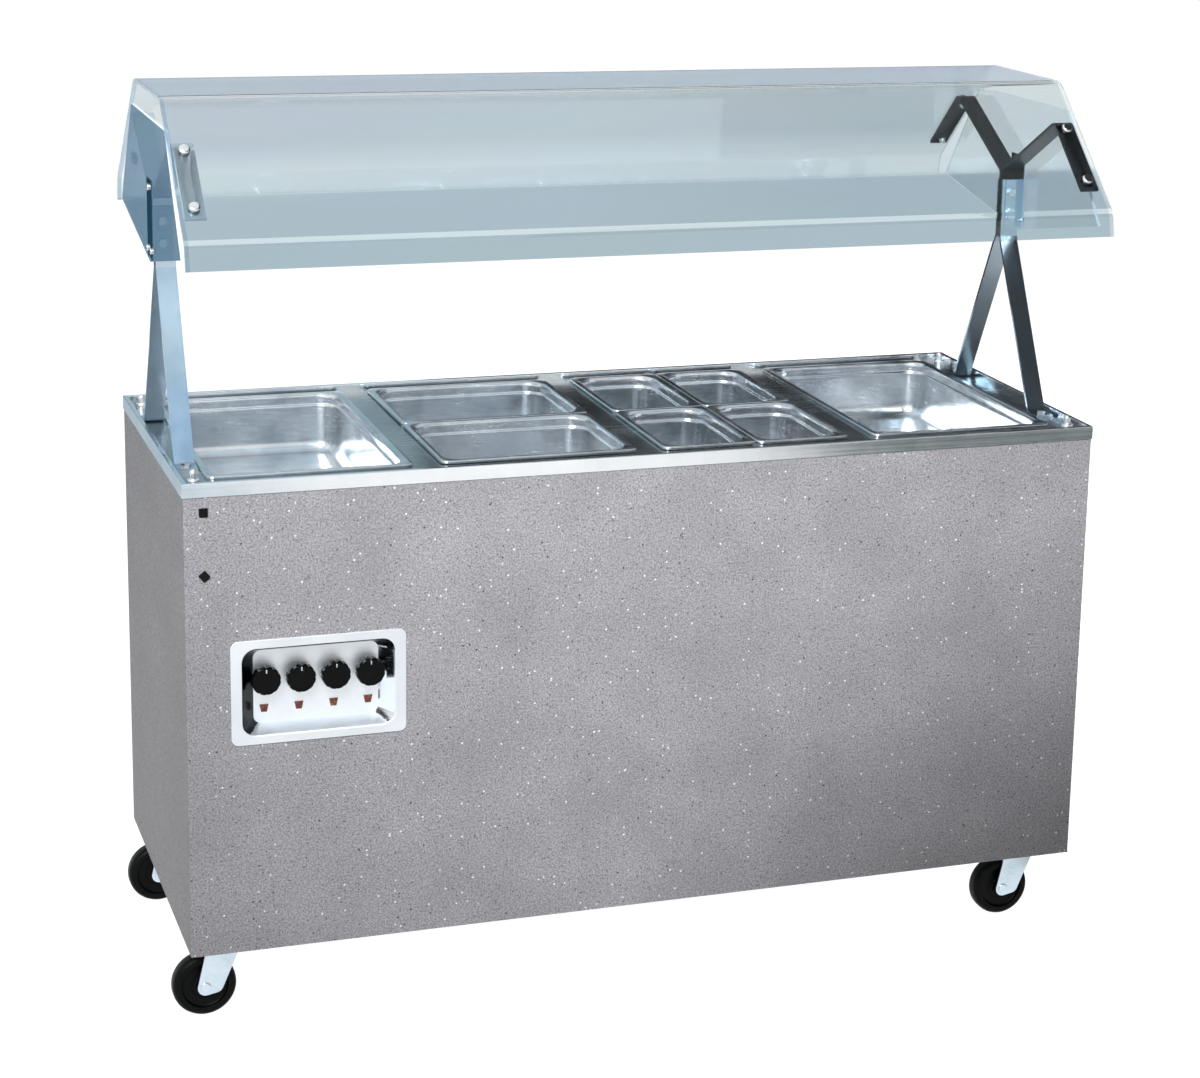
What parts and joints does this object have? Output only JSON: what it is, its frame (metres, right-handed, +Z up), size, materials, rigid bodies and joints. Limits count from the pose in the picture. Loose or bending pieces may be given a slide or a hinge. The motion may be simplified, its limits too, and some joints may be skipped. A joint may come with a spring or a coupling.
{
  "type": "portable serving counter",
  "caption": "Hot-food serving counter on swivel casters with lift-out pans in heated wells, a recessed knob panel and a two-sided clear breath guard on strap brackets.",
  "frame": {"origin": "on the floor under the middle of the cabinet", "axes": "+X along the counter, -Y towards the control side, +Z up"},
  "size_m": [1.5438, 0.698, 1.448],
  "materials": {
    "vinyl_panel": "speckled vinyl cladding",
    "stainless": "satin",
    "pan_steel": "bright satin",
    "galvanised": "galvanised sheet",
    "element_sheath": "oxidised sheath",
    "strap_paint": "semi-gloss enamel",
    "acrylic": "clear acrylic",
    "bright_fasteners": "bright plated",
    "zinc": "bright zinc plate",
    "wheel_rubber": "moulded rubber",
    "knob_black": "gloss phenolic",
    "lens_red": "tinted lens",
    "black_plastic": "moulded",
    "cable_sheath": "cable sheath"
  },
  "bodies": {
    "cabinet": {"front_panel": "vinyl_panel", "back_panel": "vinyl_panel", "left_panel": "vinyl_panel", "right_panel": "vinyl_panel", "counter_top": "stainless", "well_liner_1": "stainless", "well_liner_2": "stainless", "well_liner_3": "stainless", "well_liner_4": "stainless", "adapter_bars": "stainless", "control_recess": "stainless", "bottom_panel": "galvanised", "base_frame": "galvanised", "corner_posts": "galvanised", "heater_trays": "galvanised", "control_box_cover": "galvanised", "end_panel_clips": "galvanised", "heating_elements": "element_sheath", "upper_straps": "strap_paint", "lower_straps": "strap_paint", "canopy": "acrylic", "guard_end_left": "acrylic", "guard_end_right": "acrylic", "deck_corner_bolts": "bright_fasteners", "back_panel_screws": "bright_fasteners", "canopy_fasteners": "bright_fasteners", "end_panel_screws": "bright_fasteners", "strap_bolts": "bright_fasteners", "caster_bolts": "bright_fasteners", "caster_top_plates": "zinc", "indicator_lights": "lens_red", "hole_plugs": "black_plastic", "cord_gland": "black_plastic", "heat_switches": "black_plastic", "terminal_block": "black_plastic", "wiring_harness": "cable_sheath"},
    "knob_1": {"knob_1": "knob_black"},
    "knob_2": {"knob_2": "knob_black"},
    "knob_3": {"knob_3": "knob_black"},
    "knob_4": {"knob_4": "knob_black"},
    "pan_full_left": {"pan_full_left": "pan_steel"},
    "pan_half_front": {"pan_half_front": "pan_steel"},
    "pan_half_back": {"pan_half_back": "pan_steel"},
    "pan_quarter_front_left": {"pan_quarter_front_left": "pan_steel"},
    "pan_quarter_front_right": {"pan_quarter_front_right": "pan_steel"},
    "pan_quarter_back_left": {"pan_quarter_back_left": "pan_steel"},
    "pan_quarter_back_right": {"pan_quarter_back_right": "pan_steel"},
    "pan_full_right": {"pan_full_right": "pan_steel"},
    "swivel_front_left": {"caster_fork_front_left": "zinc", "caster_axle_front_left": "zinc"},
    "wheel_front_left": {"caster_wheel_front_left": "wheel_rubber"},
    "swivel_back_left": {"caster_fork_back_left": "zinc", "caster_axle_back_left": "zinc"},
    "wheel_back_left": {"caster_wheel_back_left": "wheel_rubber"},
    "swivel_front_right": {"caster_fork_front_right": "zinc", "caster_axle_front_right": "zinc"},
    "wheel_front_right": {"caster_wheel_front_right": "wheel_rubber"},
    "swivel_back_right": {"caster_fork_back_right": "zinc", "caster_axle_back_right": "zinc"},
    "wheel_back_right": {"caster_wheel_back_right": "wheel_rubber"}
  },
  "joints": [
    {"name": "knob_1_turn", "type": "hinge", "parent": "cabinet", "child": "knob_1", "pos_m": [-0.63705, -0.2778, 0.567], "axis": [0, 1, 0], "range_deg": [0, 270]},
    {"name": "knob_2_turn", "type": "hinge", "parent": "cabinet", "child": "knob_2", "pos_m": [-0.58235, -0.2778, 0.567], "axis": [0, 1, 0], "range_deg": [0, 270]},
    {"name": "knob_3_turn", "type": "hinge", "parent": "cabinet", "child": "knob_3", "pos_m": [-0.52765, -0.2778, 0.567], "axis": [0, 1, 0], "range_deg": [0, 270]},
    {"name": "knob_4_turn", "type": "hinge", "parent": "cabinet", "child": "knob_4", "pos_m": [-0.47295, -0.2778, 0.567], "axis": [0, 1, 0], "range_deg": [0, 270]},
    {"name": "pan_full_left_lift", "type": "slide", "parent": "cabinet", "child": "pan_full_left", "axis": [0, 0, 1], "range_m": [0, 0.16]},
    {"name": "pan_half_front_lift", "type": "slide", "parent": "cabinet", "child": "pan_half_front", "axis": [0, 0, 1], "range_m": [0, 0.16]},
    {"name": "pan_half_back_lift", "type": "slide", "parent": "cabinet", "child": "pan_half_back", "axis": [0, 0, 1], "range_m": [0, 0.16]},
    {"name": "pan_quarter_front_left_lift", "type": "slide", "parent": "cabinet", "child": "pan_quarter_front_left", "axis": [0, 0, 1], "range_m": [0, 0.16]},
    {"name": "pan_quarter_front_right_lift", "type": "slide", "parent": "cabinet", "child": "pan_quarter_front_right", "axis": [0, 0, 1], "range_m": [0, 0.16]},
    {"name": "pan_quarter_back_left_lift", "type": "slide", "parent": "cabinet", "child": "pan_quarter_back_left", "axis": [0, 0, 1], "range_m": [0, 0.16]},
    {"name": "pan_quarter_back_right_lift", "type": "slide", "parent": "cabinet", "child": "pan_quarter_back_right", "axis": [0, 0, 1], "range_m": [0, 0.16]},
    {"name": "pan_full_right_lift", "type": "slide", "parent": "cabinet", "child": "pan_full_right", "axis": [0, 0, 1], "range_m": [0, 0.16]},
    {"name": "swivel_front_left_turn", "type": "hinge", "parent": "cabinet", "child": "swivel_front_left", "pos_m": [-0.697, -0.235, 0.1], "axis": [0, 0, 1], "continuous": true},
    {"name": "wheel_front_left_roll", "type": "hinge", "parent": "swivel_front_left", "child": "wheel_front_left", "pos_m": [-0.731, -0.235, 0.0508], "axis": [0, 1, 0], "continuous": true},
    {"name": "swivel_back_left_turn", "type": "hinge", "parent": "cabinet", "child": "swivel_back_left", "pos_m": [-0.697, 0.235, 0.1], "axis": [0, 0, 1], "continuous": true},
    {"name": "wheel_back_left_roll", "type": "hinge", "parent": "swivel_back_left", "child": "wheel_back_left", "pos_m": [-0.731, 0.235, 0.0508], "axis": [0, 1, 0], "continuous": true},
    {"name": "swivel_front_right_turn", "type": "hinge", "parent": "cabinet", "child": "swivel_front_right", "pos_m": [0.697, -0.235, 0.1], "axis": [0, 0, 1], "continuous": true},
    {"name": "wheel_front_right_roll", "type": "hinge", "parent": "swivel_front_right", "child": "wheel_front_right", "pos_m": [0.663, -0.235, 0.0508], "axis": [0, 1, 0], "continuous": true},
    {"name": "swivel_back_right_turn", "type": "hinge", "parent": "cabinet", "child": "swivel_back_right", "pos_m": [0.697, 0.235, 0.1], "axis": [0, 0, 1], "continuous": true},
    {"name": "wheel_back_right_roll", "type": "hinge", "parent": "swivel_back_right", "child": "wheel_back_right", "pos_m": [0.663, 0.235, 0.0508], "axis": [0, 1, 0], "continuous": true}
  ]
}
